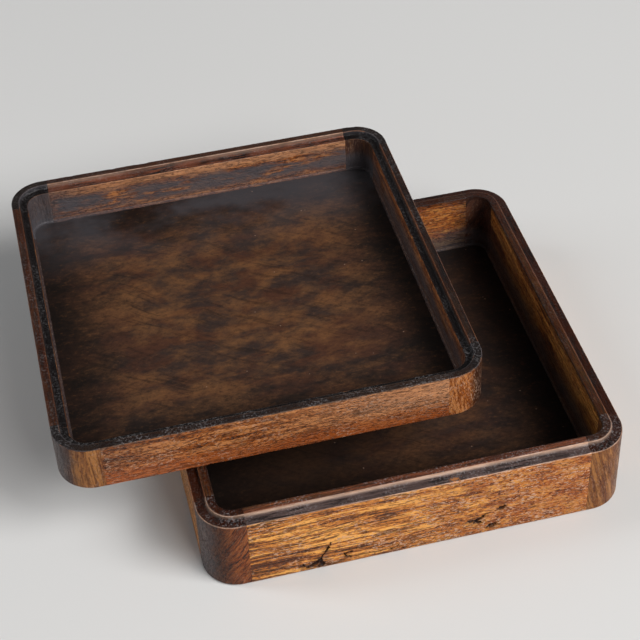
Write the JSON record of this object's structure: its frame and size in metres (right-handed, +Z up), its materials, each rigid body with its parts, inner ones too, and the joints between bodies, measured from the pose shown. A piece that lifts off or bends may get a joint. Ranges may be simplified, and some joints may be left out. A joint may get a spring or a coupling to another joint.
{
  "type": "ink stick and stone box",
  "caption": "Square hardwood box with rounded corners: an open base tray with a raised rim tongue, and its lid lying upside down across the rim.",
  "frame": {"origin": "centre of the base tray's flat underside, on the surface that the box stands on", "axes": "+Z up; +X to the right along the front board; -Y towards the front"},
  "size_m": [0.2305, 0.2139, 0.0602],
  "materials": {
    "base_board_wood": "amber to orange-brown hardwood with dark straight pores, aged semi-gloss lacquer",
    "base_corner_wood": "red-brown hardwood, grain upright, aged semi-gloss lacquer",
    "base_floor_wood": "very dark brown hardwood, soft sheen",
    "lid_board_wood": "reddish-brown hardwood with pale filled pores, aged semi-gloss lacquer",
    "lid_corner_wood": "golden-brown striped hardwood, grain upright, aged semi-gloss lacquer",
    "lid_panel_wood": "very dark brown mottled hardwood, soft sheen",
    "spline_wood": "plain unfinished hardwood, hidden in the joints"
  },
  "bodies": {
    "base": {"base_floor_panel": "base_floor_wood", "base_front_board": "base_board_wood", "base_right_board": "base_board_wood", "base_back_board": "base_board_wood", "base_left_board": "base_board_wood", "base_front_left_corner": "base_corner_wood", "base_front_right_corner": "base_corner_wood", "base_back_right_corner": "base_corner_wood", "base_back_left_corner": "base_corner_wood", "base_splines": "spline_wood"},
    "lid": {"lid_top_panel": "lid_panel_wood", "lid_front_board": "lid_board_wood", "lid_right_board": "lid_board_wood", "lid_back_board": "lid_board_wood", "lid_left_board": "lid_board_wood", "lid_front_left_corner": "lid_corner_wood", "lid_front_right_corner": "lid_corner_wood", "lid_back_right_corner": "lid_corner_wood", "lid_back_left_corner": "lid_corner_wood", "lid_splines": "spline_wood"}
  },
  "joints": [
    {"name": "lid_lift", "type": "slide", "parent": "base", "child": "lid", "axis": [0, 0, 1], "range_m": [0, 0.06]}
  ]
}
